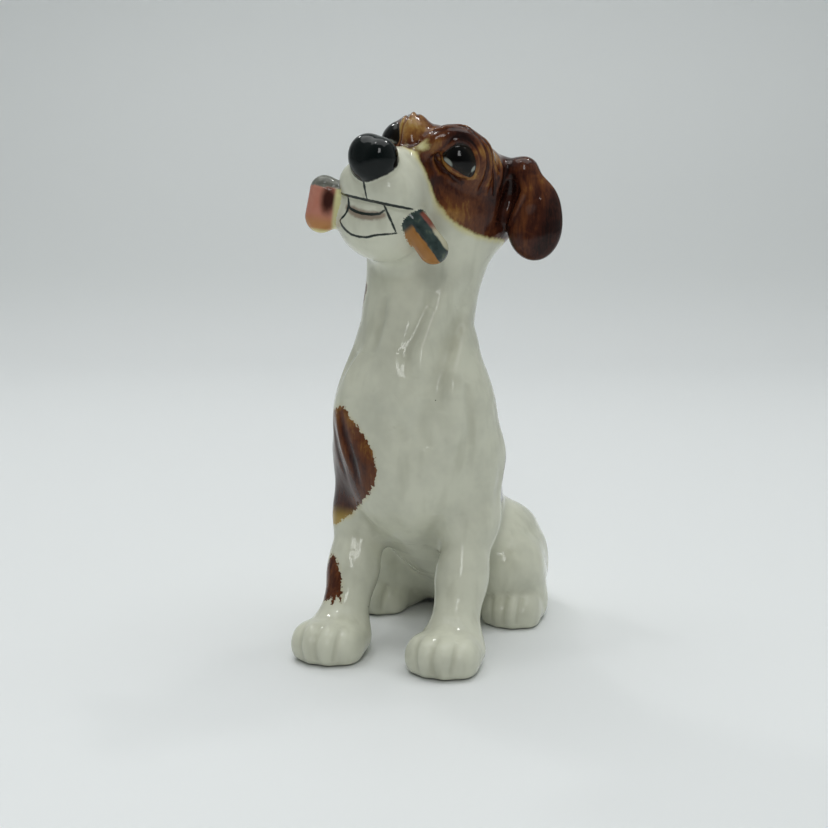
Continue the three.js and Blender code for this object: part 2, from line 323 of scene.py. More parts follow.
# the opening between the lids, outwards and up from the eye's middle
OPENING = [(-4.1, -0.8), (-4.0, 0.8), (-2.9, 2.4), (-0.7, 2.9), (1.4, 2.1), (3.0, 0.3), (3.6, -1.9),
           (2.2, -2.5), (0.6, -2.5), (-1.5, -2.4), (-3.3, -2.0)]
# lids, and the wrinkles of the brow and temple, round each eye: (width, depth, places)
WRINKLES = [
    (0.45, -0.50, [(185, 4.6), (168, 4.6), (140, 4.2), (104, 3.5), (58, 3.0), (8, 3.5), (-26, 4.5)]),
    (0.45, -0.45, [(176, 4.7), (205, 4.3), (235, 3.3), (270, 3.0), (302, 3.5), (328, 4.6)]),
    (0.8, -0.55, [(150, 5.6), (122, 5.0), (90, 4.6), (55, 4.5), (25, 5.2)]),
    (0.6, 0.45, [(178, 5.6), (208, 5.3), (238, 4.5), (270, 4.3), (300, 4.9)]),
    (0.55, -0.42, [(108, 5.9), (140, 6.2), (172, 6.4), (205, 6.4), (240, 6.0)]),
    (0.5, 0.45, [(100, 6.5), (125, 6.9), (150, 7.2), (178, 7.6), (205, 7.6)]),
    (0.55, -0.42, [(98, 7.3), (118, 7.9), (140, 8.5), (162, 8.9)]),
    (0.5, 0.40, [(96, 8.2), (112, 9.0), (130, 9.6), (148, 10.0)]),
    (0.5, 0.42, [(66, 5.4), (40, 5.7), (18, 6.3), (-8, 7.4), (-28, 8.8)]),
    (0.5, -0.38, [(72, 6.2), (48, 6.6), (24, 7.3), (0, 8.6), (-20, 10.0)]),
    (0.45, 0.35, [(76, 7.1), (52, 7.7), (28, 8.7), (6, 10.2), (-12, 11.6)]),
    (0.4, -0.25, [(66, 8.2), (46, 9.0), (26, 10.2), (8, 11.6)]),
]
RIGHT_WRINKLES = WRINKLES[4:]  # all but the lids' own

HEAD = (
    [  # skull and forehead
        Add(egg((0, 2, 0.2), (12, 13, 11.2)), 4),
        Add(egg((-0.6, -8.4, 5.2), (7.2, 8, 5.5)), 4),
    ]
    + mirrored(lambda s: [  # cheeks and temples
        Add(egg((s * 6.8, -4.5, -6), (6.4, 9.5, 7)), 5),
        Add(egg((s * 7.6, 5, -3), (6.8, 8.5, 8)), 5),
        Add(egg((s * 7.6, -3.5, 4.4), (5.4, 7, 5.6)), 4),
    ])
    + [Add(limb((0, -9, -1.8), 7.8, (0, -22, -4.8), 6.4), 4)]  # muzzle and its jowls
    + mirrored(lambda s: [Add(egg((s * 4.4, -21.4, -7.4), (5, 7, 4.8)), 3)])
    + [  # throat and chin
        Add(limb((0, -1, -11), 8.8, (0, -11, -13), 7), 4),
        Add(egg((-0.6, -17.2, -14.3), (9.6, 8.8, 7.2)), 3),
    ]
    + NOSE
    + mirrored(lambda s: chain(BROW[s], 2.5) + eye_socket(s))
)
LEFT_EAR = [
    Add(limb((9.5, 3.8, 5.6), 4.4, (14.6, 3.0, 8), 2.9), 3),
    Add(limb((14.6, 3.0, 8), 2.9, (18.6, 4.6, 3), 2.4), 2),
    Add(egg((20.2, 6, -0.2), (5.4, 2.4, 8.5), turned(0, -19, 32)), 3),
    Add(egg((20, 6.7, -3.0), (4.9, 2.6, 5.3), turned(0, -19, 32)), 3),
]
RIGHT_EAR = [
    Add(limb((-9.5, 3.8, 5.6), 4.4, (-14, 5.2, 6.2), 3.4), 3),
    Add(egg((-14.6, 8.6, -1.4), (4.8, 2.6, 10), turned(0, 6, -52)), 3),
    Add(egg((-14.4, 9.4, -5.4), (5.2, 2.8, 5.8), turned(0, 6, -52)), 3),
]
# each half of the slipper: its middle, and its axes with z along the slipper
TOE_AT, TOE_TURN = np.array((10.9, -17.0, -13.0)), aimed((0.67, 0.52, -0.52), SIDE_ON)
HEEL_AT, HEEL_TURN = np.array((-13.4, -22.1, -14.2)), aimed((-0.15, -0.2, 0.95), SIDE_ON)
SLIPPER_TOE = [
    Add(egg((7, -16.6, -11.6), (4.4, 3.2, 3.2)), 1),
    Add(limb(TOE_AT - 3.6 * TOE_TURN[:, 2], 2.9, TOE_AT + 3.4 * TOE_TURN[:, 2], 3.15), 1.5),
]
SLIPPER_HEEL = [
    Add(egg((-8.5, -20.6, -12.9), (6, 3.6, 5.0), turned(0, 14, 0)), 1),
    Add(limb(HEEL_AT - 2.7 * HEEL_TURN[:, 2], 3.5, HEEL_AT + 3.0 * HEEL_TURN[:, 2], 3.1), 2),
]

# name: (forms, blend into the rest)
CASTINGS = {
    "torso": (TORSO, 3),
    "head": (HEAD, 4),
    "ear_left": (LEFT_EAR, 2),
    "ear_right": (RIGHT_EAR, 2),
    "foreleg_left": (foreleg(1), 4),
    "foreleg_right": (foreleg(-1), 4),
    "hind_leg_left": (hind_leg(1), 3),
    "hind_leg_right": (hind_leg(-1), 3),
    "tail": (TAIL, 3),
    "slipper_toe": (SLIPPER_TOE, 1.2),
    "slipper_heel": (SLIPPER_HEEL, 1.2),
}
for steps, k in CASTINGS.values():
    reach = k  # a form matters as far off as any later blend can feel it
    for step in reversed(steps):
        reach = max(reach, step.k)
        step.lo, step.hi = step.form.lo - reach - 1, step.form.hi + reach + 1

# soft folds of the coat: (points, width, depth), ridges below 0
FOLDS = [
    ([(13.2, -1.0, 79), (12.0, -5.0, 73), (9.8, -9.4, 67), (8.6, -13.2, 60), (9.6, -15.4, 53)], 2.2, 1.15),
    ([(10.8, -6.0, 81), (7.8, -9.6, 75), (5.0, -12.0, 68), (4.2, -14.6, 60)], 1.9, -0.9),
    ([(14.6, -3.5, 76), (13.2, -8, 69), (11.6, -12.2, 62), (11.2, -14, 56)], 1.8, -0.95),
    ([(6.4, -9.4, 79), (4.4, -11.4, 73), (1.8, -13, 66), (1.4, -14.6, 60)], 1.5, 0.7),
    ([(-4.8, -10.4, 78), (-5.4, -11.8, 72), (-6.4, -13, 65)], 1.5, 0.6),
    ([(-3.0, -10.8, 79), (-3.2, -12.2, 72), (-4.0, -14, 64)], 1.5, -0.5),
    ([(0.4, -14.2, 67), (3.0, -15.2, 64), (3.4, -16.4, 59), (0.4, -16.8, 56)], 1.9, 0.6),
    ([(-4.4, -16.2, 58), (-1.8, -16.8, 54), (0.2, -16.6, 50)], 1.8, -0.5),
    ([(-3.4, -16.2, 55), (0.8, -16.8, 51), (3.2, -16.6, 47)], 2.2, 0.65),
    ([(6.8, -15.8, 57), (6.4, -16.6, 51), (8.0, -16, 46)], 1.8, 0.7),
    ([(13.6, -10.6, 60), (14.6, -11.4, 53), (15, -11.6, 46)], 1.6, 0.7),
    ([(12.0, -12, 62), (12.6, -13, 54), (12.6, -13.2, 47)], 1.8, -0.6),
    ([(-12.6, -9.4, 66), (-14.4, -8.8, 61), (-14.6, -9, 56)], 1.7, 0.8),
    ([(-10.4, -11.4, 66), (-11.4, -12, 60), (-11, -13, 55)], 1.6, -0.6),
    ([(-12.4, -13.2, 52), (-11.2, -15.2, 46), (-9.2, -15.6, 41), (-7.4, -15.4, 37)], 1.0, 0.35),
    ([(-14.8, -11, 50), (-14.6, -12.4, 44), (-13, -13.4, 38)], 1.1, 0.3),
    ([(-13.6, -12.4, 52), (-12.8, -14, 46), (-10.8, -14.8, 40)], 1.0, -0.35),
    ([(-7.8, -10.4, 33), (-7.6, -9.6, 29), (-7.4, -8.2, 25)], 1.6, 0.5),
    ([(5.6, -11, 34), (6.2, -10.6, 28), (6.6, -8.4, 21)], 1.8, 0.5),
    ([(11, -10, 32), (12.4, -11, 27), (13.6, -13, 21)], 1.8, -0.35),
    ([(-11.8, -9, 31), (-11.2, -11, 25), (-10.4, -14, 18)], 1.6, 0.35),
    ([(19, 14, 22), (22, 22, 24), (21, 32, 22), (18, 40, 16)], 2.2, 0.5),
    ([(15.5, -2, 44), (18, -3, 36), (17.5, -5, 28)], 2.0, 0.5),
    ([(-15.5, -2, 44), (-18, -3, 36), (-17.5, -5, 28)], 2.0, 0.5),
    ([(-19, 14, 22), (-22, 22, 24), (-21, 32, 22), (-18, 40, 16)], 2.2, 0.5),
    ([(-6, 14, 64), (-7, 15, 56), (-9, 18, 48)], 2.2, 0.6),
    ([(5, 14, 66), (7, 16, 57), (8, 19, 49)], 2.2, 0.6),
    ([(0, 14, 72), (0.5, 16, 62), (0, 21, 50), (0, 30, 38), (0, 38, 28)], 1.8, -0.5),
]
for s in (1, -1):  # clefts between the toes, down the front of each paw
    for x, top in ((-3.5, 7), (0.1, 7.6), (3.6, 6.8)):
        cleft = ((-24.8, top), (-27.2, 5.4), (-28.3, 3), (-28.4, 1.2))
        FOLDS.append(([(s * 13 + x, y, z) for y, z in cleft], 0.8, 0.42))
    for x in (-2.9, 0, 3.0):
        cleft = ((14.0, 6.8), (11.8, 5.4), (10.4, 3.4), (10.2, 1.2))
        FOLDS.append(([(s * 16.6 + x, y, z) for y, z in cleft], 0.7, 0.36))
HEAD_FOLDS = [
    # the left ear's rim and hollow, the creases before it, and the right ear's hollow
    ([(16.0, 0.4, 6.6), (17.6, 1.2, 4.0), (17.0, 1.6, 0.4), (16.4, 2.2, -3.4)], 0.6, -0.55),
    ([(14.8, -0.4, 5.4), (15.2, 0.2, 2.2), (15.0, 0.8, -1.2), (14.8, 1.4, -4)], 1.1, 1.0),
    ([(19.0, 1.6, 8.4), (20.0, 2.6, 5.0), (20.6, 3.4, 0.4), (20.8, 3.8, -4)], 1.2, 0.45),
    ([(13.4, -1.6, 8.0), (13.8, -1.2, 5.0), (13.6, -0.8, 2.0)], 0.6, 0.5),
    ([(12.4, -2.8, 8.4), (12.8, -2.4, 5.4), (12.8, -2.0, 2.4)], 0.6, -0.4),
    ([(-16.5, 2.5, 5), (-18, 6, 2), (-18, 7, -4)], 0.9, 0.5),
    # the cleft of the lip, the lip over the slipper and the one under it
    ([(0, -26, -8.6), (0.2, -25, -9.6)], 0.5, 0.2),
    ([(-9.7, -23.3, -11.2), (-3.9, -25.9, -11.3), (1, -26.3, -10.9), (5.8, -26.2, -10.4),
      (8.8, -20.9, -9.2)], 0.5, 0.3),
    ([(-4.6, -24.2, -12.6), (-2.4, -24.8, -13.6), (0, -25, -13.8), (2.4, -24.8, -13.2),
      (5.2, -24.7, -12.0)], 0.9, 0.4),
    # the slipper's lining and the seam of its heel
    ([tuple(TOE_AT + TOE_TURN @ np.array((0.5, -3.0, w))) for w in (-3.4, 0, 3.4, 5.2)], 0.4, 0.25),
    ([tuple(HEEL_AT + HEEL_TURN @ np.array((x, -3.2, 4.2))) for x in (-3, 0, 3)], 0.4, 0.25),
]


TOUCHES = []  # strokes and cuts in the joined surface, filled in once it can be measured


def ground(field, z, k=0.8):
    """The field cut off flat at the table."""
    return -merge(-field, np.broadcast_to(z, field.shape), k)


def figure_grid(axes):
    """The whole figure's field on a grid."""
    field = np.full(tuple(len(a) for a in axes), FAR, np.float32)
    for steps, k in CASTINGS.values():
        lo = np.min([s.lo for s in steps], 0) - k
        hi = np.max([s.hi for s in steps], 0) + k
        span = tuple(slice(*np.searchsorted(a, (lo[i], hi[i]))) for i, a in enumerate(axes))
        if any(s.start >= s.stop for s in span):
            continue
        own = over_grid(steps, [a[s] for a, s in zip(axes, span)])
        field[span] = merge(field[span], own, k)
    field = over_grid(TOUCHES, axes, field)
    return ground(field, axes[2][None, None, :])


def figure_points(p):
    """The whole figure's field at points."""
    field = np.full(len(p), FAR)
    for steps, k in CASTINGS.values():
        field = merge(field, at_points(steps, p), k)
    return ground(at_points(TOUCHES, p, field), p[:, 2])


def slopes(p, e=0.04):
    g = np.empty_like(p)
    for i in range(3):
        s = np.zeros(3)
        s[i] = e
        g[:, i] = (figure_points(p + s) - figure_points(p - s)) / (2 * e)
    return g


def onto_surface(p, most):
    """Points moved down the slope to the surface, by that many millimetres at most."""
    g = slopes(p)
    move = figure_points(p)[:, None] * g / np.maximum((g * g).sum(1), 0.05)[:, None]
    return p - np.clip(move, -most, most)


def settled(points, width, depth, place=FIGURE):
    """A stroke whose path lies on the surface it is drawn in."""
    stroke = Stroke(points, width, depth, place)
    for _ in range(6):
        stroke.path = onto_surface(stroke.path, 1.5)
    stroke.measure()
    return stroke


VENT = Limb((0, 29, -2), 2.6, (0, 29, 2.2), 2.6)  # the hole in the base
TOUCHES = (
    [settled(*fold) for fold in FOLDS]
    + [settled(*fold, SKULL) for fold in HEAD_FOLDS]
    + [
        settled(round_eye(s, *way), width, depth, SKULL)
        for s, wrinkles in ((1, WRINKLES), (-1, RIGHT_WRINKLES))
        for width, depth, way in wrinkles
    ]
    + [Cut(VENT, 0.6)]
)


def bend(p, e=0.5):
    """How the surface curves, per millimetre: below 0 in a hollow, above 0 on a ridge."""
    total = -6 * figure_points(p)
    for i in range(3):
        s = np.zeros(3)
        s[i] = e
        total += figure_points(p + s) + figure_points(p - s)
    return np.clip(total / e**2, -1.5, 1.5)


# ---- meshes -------------------------------------------------------------------------------------
def skin(lo, hi, step):
    """The figure's surface inside a box, as points and quads, with the points moved onto the forms."""
    axes = [np.arange(lo[i], hi[i], step, dtype=np.float32) for i in range(3)]
    grid = openvdb.FloatGrid(FAR)
    grid.copyFromArray(figure_grid(axes).astype(np.float32))
    points, quads = grid.convertToQuads(0.0)
    points = points.astype(float) * step + np.array([a[0] for a in axes])
    for _ in range(2):
        points = onto_surface(points, 0.6 * step)
    return points, quads


def split_at(points, quads, origin, normal, keep):
    """The part of the surface on one side of a plane, with its edge cut clean along the plane."""
    side = ((points - origin) @ normal) * keep
    inside = side[quads] > 0
    extra, made, faces = [], {}, [list(f) for f in quads[inside.all(1)]]

    def crossing(a, b):
        key = (min(a, b), max(a, b))
        if key not in made:
            t = side[key[0]] / (side[key[0]] - side[key[1]])
            made[key] = len(points) + len(extra)
            extra.append(points[key[0]] * (1 - t) + points[key[1]] * t)
        return made[key]

    for face in quads[inside.any(1) & ~inside.all(1)]:
        out = []
        for a, b in zip(face, np.roll(face, -1)):
            if side[a] > 0:
                out.append(int(a))
            if (side[a] > 0) != (side[b] > 0):
                out.append(crossing(int(a), int(b)))
        if len(out) > 2:
            faces.append(out)
    return np.vstack([points, *[e[None] for e in extra]]), faces


# the plane between the finely and the coarsely modelled parts, through the neck
NECK_AT, NECK_FACING = np.array((0.5, 3.0, 80.5)), np.array((0.06, -0.22, 1.0))
NECK_FACING /= np.linalg.norm(NECK_FACING)


def nearest_casting(points, names):
    values = [at_points(CASTINGS[n][0], points) for n in names]
    if "head" in names:  # the head's casting includes the top of the neck
        i = list(names).index("head")
        values[i] = np.minimum(values[i], at_points(TORSO, points))
    return np.argmin(values, 0)


def boundary_loops(faces):
    """The open edges of some faces, joined into loops."""
    edges = {}
    for f in faces:
        for a, b in zip(f, f[1:] + f[:1]):
            edges[(a, b)] = True
    after = {}
    for a, b in edges:
        if (b, a) not in edges:
            after.setdefault(b, []).append(a)  # the cap's edges run the other way
    loops = []
    while after:
        start = next(iter(after))
        loop, at = [], start
        while at in after:
            loop.append(at)
            nxt = after[at].pop()
            if not after[at]:
                del after[at]
            at = nxt
            if at == start:
                break
        loops.append(loop)
    return loops


def casting_meshes(points, faces, names):
    """One closed mesh per casting: {name: (points, faces, normals, curve of the surface)}."""
    label = nearest_casting(points, names)
    owner = np.array([label[f[0]] for f in faces])
    made = {}
    for i, name in enumerate(names):
        own = [faces[j] for j in np.flatnonzero(owner == i)]
        used = np.unique(np.concatenate([np.array(f) for f in own]))
        index = {int(v): n for n, v in enumerate(used)}
        own = [[index[int(v)] for v in f] for f in own]
        at = points[used]
        g = slopes(at)
        normals = g / np.linalg.norm(g, axis=1)[:, None]
        hollow = bend(at)
        caps = []
        for loop in boundary_loops(own):
            middle = at[loop].mean(0) - normals[loop].mean(0) * 0.5
            n = len(at)
            at = np.vstack([at, middle])
            normals = np.vstack([normals, (0, 0, 1)])
            hollow = np.append(hollow, 0.0)
            caps += [[a, b, n] for a, b in zip(loop, loop[1:] + loop[:1])]
        made[name] = (at, own + caps, normals, hollow)
    return made


# the row frame's origin is the middle of the footprint: the forepaws' soles say where that is
SOLES = {m["name"]: np.array(m["pos_m"]) * 1000 for m in frame["record"]["mounts"]}
SHIFT = (SOLES["sole_foreleg_left"] + SOLES["sole_foreleg_right"]) / 2 - np.array((0, -18.6, 0))

upper = skin((-24, -33, 73), (33, 31, 120), HEAD_STEP)
lower = skin((-27, -33, -1.5), (27, 56, 89), BODY_STEP)
upper = split_at(*upper, NECK_AT, NECK_FACING, 1)
lower = split_at(*lower, NECK_AT, NECK_FACING, -1)
MESHES = casting_meshes(*upper, ["head", "ear_left", "ear_right", "slipper_toe", "slipper_heel"])
MESHES.update(
    casting_meshes(
        *lower, ["torso", "foreleg_left", "foreleg_right", "hind_leg_left", "hind_leg_right", "tail"]
    )
)


# ---- paint: distances in millimetres, negative inside -------------------------------------------
CLEAR = 9.0  # the distance given where a mark can't be
FRONT = aimed((-0.258, -0.289, 0.96), SIDE_ON)  # the muzzle's painting, as it faces its viewer
ACROSS, UPWARD = -FRONT[:, 0], FRONT[:, 2]


def segments(u, v, path):
    """Distance in the plane to a drawn path, and how far along it the nearest place is, 0 to 1."""
    best, along = np.full(len(u), 99.0), np.zeros(len(u))
    n = len(path) - 1
    for i in range(n):
        (a, b), (c, d) = path[i], path[i + 1] - path[i]
        t = np.clip(((u - a) * c + (v - b) * d) / max(c * c + d * d, 1e-9), 0, 1)
        far = np.hypot(u - a - t * c, v - b - t * d)
        along = np.where(far < best, (i + t) / n, along)
        best = np.minimum(far, best)
    return best, along


def inside(u, v, outline, steps=5):
    """Signed distance to a closed curve drawn through the points."""
    ring = list(outline)
    path = smooth_path(ring[-2:] + ring + ring[:2], steps)[2 * steps:(len(ring) + 2) * steps + 1]
    far, _ = segments(u, v, path)
    odd = np.zeros(len(u), bool)
    for (a, b), (c, d) in zip(path, path[1:]):
        if b != d:
            odd ^= ((b > v) != (d > v)) & (u < (c - a) * (v - b) / (d - b) + a)
    return np.where(odd, -far, far)


def drawn(q, facing, points, width):
    """A painted line on the front of the muzzle, thinner towards its ends."""
    p = smooth_path(points)
    far, along = segments(q @ ACROSS, q @ UPWARD, np.stack([p @ ACROSS, p @ UPWARD], 1))
    deepest = (p @ np.array(SIDE_ON)).max() + 3
    here = facing & (q @ np.array(SIDE_ON) < deepest)
    return np.where(here, far - width * (0.55 + 0.45 * np.sin(math.pi * along) ** 0.5), CLEAR)


def toned(tone, q, patches):
    """The tone with patches added: (amount, on both sides, centre, radii), darker above 0."""
    folded = np.column_stack([np.abs(q[:, 0]), q[:, 1:]])
    for amount, paired, centre, radii in patches:
        away = ((folded if paired else q) - np.array(centre)) / np.array(radii)
        tone = tone + amount * np.exp(-(away**2).sum(1))
    return tone


def bump(x, y, centre, radii):
    """1 at a place on an eye's plane, fading round it."""
    return np.exp(-((x - centre[0]) / radii[0]) ** 2 - ((y - centre[1]) / radii[1]) ** 2)


# the edge of the head's brown, back and up on either side
MASK = [(-20.6, 8), (-19.4, 4.4), (-20.1, 3.2), (-20.1, 2.0), (-19.6, 0.8), (-18.5, -0.8), (-16.6, -3.1),
        (-13.9, -6.1), (-10.9, -8.0), (-5.6, -8.7), (0.9, -8.3), (6, -7.4), (12, -8.2), (18, -6), (22, 2),
        (18, 14), (4, 20), (-10, 18), (-20, 14)]
HEAD_TONES = [
    (-0.8, False, (-1.5, -15.5, 7), (3.2, 5, 3)),
    (-0.5, False, (-6, -15.5, 8), (3.4, 3, 3)),
    (-0.9, True, (11.6, -4.8, 8.4), (2.6, 2.4, 3)),
    (-0.45, True, (10.6, -11.4, -6.6), (6, 5, 2.2)),
    (-0.25, True, (11.5, -8.5, -2.6), (5, 3, 3)),
    (0.5, True, (13.6, -0.6, 2), (5, 3.4, 7)),
    (0.6, False, (6.8, -15, 8.4), (3.2, 3.6, 2.2)),
    (0.25, True, (7.4, -15.5, -1), (3, 2, 1.6)),
]
EAR_TONES = [
    (-0.55, True, (20.6, 4.4, 0), (2.2, 6, 9)),
    (-0.5, False, (19.4, 2.4, 8), (1.6, 4, 3)),
    (0.35, False, (24.4, 6, 0), (2.4, 9, 9)),
    (-0.5, False, (18.2, 2.6, 3.4), (1.1, 3, 5)),
]
# the mouth and the muzzle's other drawn lines: (points, half width)
LINES = [
    ([(-9.7, -23.3, -10.9), (-3.9, -25.9, -10.9), (1, -26.3, -10.5), (5.8, -26.2, -10), (7.9, -24, -9.4),
      (8.8, -20.9, -8.8)], 0.3),
    ([(-0.2, -28.3, -6.6), (0.3, -27.6, -8.2), (1.2, -26.7, -10.2)], 0.22),
    ([(-4.9, -25, -11.2), (-4.6, -24.3, -12.6), (-5.0, -23.6, -14.3), (-7, -22.2, -16.1)], 0.24),
    ([(-7, -22.2, -16.1), (-5.6, -22, -17.1), (-3.2, -22.4, -17.8), (-1, -22.7, -17.9),
      (1.9, -23, -17.4), (4.1, -22.9, -16.3), (7.3, -21, -14.5)], 0.26),
    ([(5.7, -26, -10.4), (6.0, -23.8, -11.9), (7.0, -21.2, -14.2)], 0.27),
    ([(-4.8, -24.2, -12.0), (-4.2, -24.4, -12.9), (-2.4, -24.8, -13.3), (0, -25, -13.3), (2.4, -24.8, -12.8),
      (4.2, -24.7, -12.1), (5.4, -25.2, -11.2)], 0.3),
]
# the shadow under the lower lip
SHADE = [(-4.4, -24.4, -13.1), (-1.6, -24.9, -13.5), (1.6, -24.9, -13.3), (5.2, -24.7, -12.2)]


def eye_paint(p, q):
    """Distances to the eyeballs, to their whites and to the lids, and the tone of the skin round them."""
    side = np.where(q[:, 0] > 0, 1, -1)
    ball, white, lid = (np.full(len(q), CLEAR) for _ in range(3))
    shade = np.zeros(len(q))
    for s in (1, -1):
        e = (q - np.array(EYE[s])) @ gaze(s) * (s, 1, 1)
        x, y = e[:, 0] * (1 if s > 0 else 0.88), e[:, 1]  # the right eye is painted a little wider
        near = (side == s) & (e[:, 2] > -1)
        open_to = inside(x, y, OPENING)
        ball = np.where(near, np.maximum(at_points(eyeball(s), p), open_to + 0.25), ball)
        inner = np.hypot((x + 2.3) / 1.25, (y + 2.1 + 0.3 * (x + 2.3)) / 0.75) - 0.9
        outer = np.hypot((x - 2.9) / 0.4, y + 0.5) - 0.7
        white = np.where(near, np.minimum(inner, outer), white)
        lid = np.where(near, open_to, lid)
        shade += near * (
            0.9 * bump(x, y, (-1.8, 4.3), (2.6, 1.5))
            - 0.45 * bump(x, y, (2.4, 3.4), (1.4, 1.1))
            - 0.35 * np.exp(-((open_to - 0.5) / 0.5) ** 2) * (y < -1)
            - 0.30 * bump(x, y, (-6, 0.4), (1.0, 2.4))
        )
    return ball, white, lid, shade


def head_paint(p, q, normals):
    facing = normals @ SKULL.axes @ np.array(SIDE_ON) < -0.02
    ball, white, lid, shade = eye_paint(p, q)
    return {
        "mask": inside(q[:, 1], q[:, 2], MASK),
        "nose": at_points(NOSE, p),
        "ball": ball,
        "sclera": white,
        "lid": lid,
        "tone": toned(shade, q, HEAD_TONES),
        "lines": np.min([drawn(q, facing, *line) for line in LINES], 0),
        "shade": drawn(q, facing, SHADE, 1.0),
    }


GIRTH = 0.28  # millimetres across the coat to a degree round the body
BODY_SPOTS = {  # degrees round from the chest, and height
    "brown": [
        [(-60, 26.6), (-53, 28.4), (-42, 31), (-24.5, 34), (-13.5, 37.5), (-10.8, 40.9), (-13.6, 44.1),
         (-20, 47.2), (-29.4, 50.2), (-37.6, 53), (-44, 53.8), (-56, 52), (-75, 49), (-92, 43), (-98, 36),
         (-88, 29), (-74, 26)],
        [(-66, 79.4), (-65, 77.2), (-69, 75.2), (-84, 73), (-104, 73.5), (-116, 76), (-112, 79.5),
         (-96, 81.2), (-76, 81)],
    ],
    "black": [
        [(91, 43.5), (90, 38), (92, 33), (104, 31), (128, 29.4), (150, 28.4), (163, 34), (158, 44),
         (138, 50), (112, 48)],
    ],
}
SHIN = [(-17.4, 19), (-15.4, 20.4), (-13.6, 18), (-12.5, 14.6), (-12.1, 11.6), (-13.2, 12.4), (-13.8, 10.9),
        (-14.6, 12.2), (-16.4, 11), (-18, 13)]  # x and height, on the front of the right shin


def body_paint(p):
    across = np.degrees(np.arctan2(p[:, 0], -p[:, 1])) * GIRTH
    return {
        key: np.min([inside(across, p[:, 2], [(a * GIRTH, z) for a, z in ring]) for ring in rings], 0)
        for key, rings in BODY_SPOTS.items()
    }


def paint_layers(name, p, normals, hollow):
    """What a casting's glaze reads at each point."""
    q = SKULL.local(p)
    layers = {"hollow": hollow}
    if name == "head":
        layers.update(head_paint(p, q, normals))
    elif name.startswith("slipper"):
        at, turn = (TOE_AT, TOE_TURN) if name.endswith("toe") else (HEEL_AT, HEEL_TURN)
        own = (q - at) @ turn
        layers.update({"across": own[:, 0], "deep": own[:, 1], "along": own[:, 2]})
    elif name.startswith("ear"):
        layers["tone"] = toned(0.0, q, EAR_TONES)
    else:
        layers.update(body_paint(p))
        if name == "foreleg_right":
            shin = np.where(p[:, 1] < -8, inside(p[:, 0], p[:, 2], SHIN), CLEAR)
            layers["brown"] = np.minimum(layers["brown"], shin)
    return layers


# ---- materials ----------------------------------------------------------------------------------
class Nodes:
    """A small helper for building shader trees."""

    def __init__(self, name):
        self.material = bpy.data.materials.new(name)
        self.material.use_nodes = True
        self.tree = self.material.node_tree
        self.shader = self.tree.nodes["Principled BSDF"]

    def node(self, kind, inputs=(), **settings):
        n = self.tree.nodes.new(kind)
        for key, value in settings.items():
            setattr(n, key, value)
        for key, value in dict(inputs).items():
            self.feed(n.inputs[key], value)
        return n

    def feed(self, socket, value):
        if isinstance(value, bpy.types.NodeSocket):
            self.tree.links.new(value, socket)
        elif value is not None:
            socket.default_value = value

    def math(self, operation, a, b=None, c=None, clamp=False):
        n = self.node("ShaderNodeMath", operation=operation, use_clamp=clamp)
        for i, v in enumerate((a, b, c)):
            self.feed(n.inputs[i], v)
        return n.outputs[0]

    def attribute(self, name):
        return self.node("ShaderNodeAttribute", attribute_name=name).outputs["Fac"]

    def place(self, scale=(1, 1, 1), turn=(0, 0, 0)):
        where = self.node("ShaderNodeTexCoord").outputs["Object"]
        mapping = self.node("ShaderNodeMapping", {"Vector": where, "Scale": scale})
        mapping.inputs["Rotation"].default_value = [math.radians(t) for t in turn]
        return mapping.outputs[0]

    def noise(self, vector, scale, detail=2.0, rough=0.5, distortion=0.0):
        return self.node(
            "ShaderNodeTexNoise",
            {"Vector": vector, "Scale": scale, "Detail": detail, "Roughness": rough, "Distortion": distortion},
        ).outputs["Fac"]

    def ramp(self, value, low, high, a=0.0, b=1.0, smooth=True):
        """a where value is at low and b where it is at high."""
        n = self.node(
            "ShaderNodeMapRange",
            {"Value": value, "From Min": low, "From Max": high, "To Min": a, "To Max": b},
            interpolation_type="SMOOTHSTEP" if smooth else "LINEAR",
        )
        return n.outputs["Result"]

    def mix(self, amount, a, b, blend="MIX"):
        n = self.node("ShaderNodeMix", data_type="RGBA", blend_type=blend)
        self.feed(n.inputs[0], amount)
        self.feed(n.inputs[6], (*a, 1) if isinstance(a, tuple) else a)
        self.feed(n.inputs[7], (*b, 1) if isinstance(b, tuple) else b)
        return n.outputs[2]


# colours of the glazes and paints; a pair or a list is mixed by a noise
# POOLED_AND_SHADED: grey-green of glaze that runs and pools, also painted into the hollows as shade
WHITE, POOLED_AND_SHADED = (0.66, 0.665, 0.545), (0.42, 0.42, 0.32)
BROWNS = [(0.0, (0.42, 0.28, 0.08)), (0.28, (0.26, 0.12, 0.03)), (0.5, (0.125, 0.040, 0.014)),
          (0.75, (0.050, 0.014, 0.008)), (1.0, (0.014, 0.005, 0.004))]
GREENS = [(0.3, (0.018, 0.028, 0.027)), (0.55, (0.04, 0.06, 0.055)), (0.78, (0.15, 0.18, 0.12))]
FRINGE, STRAW, FADED = (0.62, 0.54, 0.16), (0.60, 0.50, 0.22), (0.50, 0.36, 0.10)
INK, SPECK, NOSE_BLACK = (0.022, 0.03, 0.026), (0.05, 0.045, 0.035), (0.0025, 0.005, 0.005)
IRIS, PUPIL, SCLERA = (0.010, 0.007, 0.004), (0.0015, 0.0015, 0.0015), (0.36, 0.40, 0.36)
# LIP_SHADOW: the painted shadow under the lower lip
LIP_SHADOW = (0.30, 0.20, 0.13), (0.20, 0.16, 0.13)
ORANGE = (0.30, 0.125, 0.03), (0.44, 0.22, 0.07)
RED_LINING, PALE_LINING = (0.22, 0.07, 0.05), (0.50, 0.48, 0.34)
PINK = (0.42, 0.13, 0.085), (0.56, 0.27, 0.20)
HEEL_RED, HEEL_TAN = (0.022, 0.004, 0.003), (0.48, 0.22, 0.08)
HEEL_EDGE, HEEL_END = (0.60, 0.58, 0.30), (0.62, 0.55, 0.24)
CAP = (0.06, 0.065, 0.06), (0.26, 0.26, 0.22)
GLAZE_IOR = 1.31


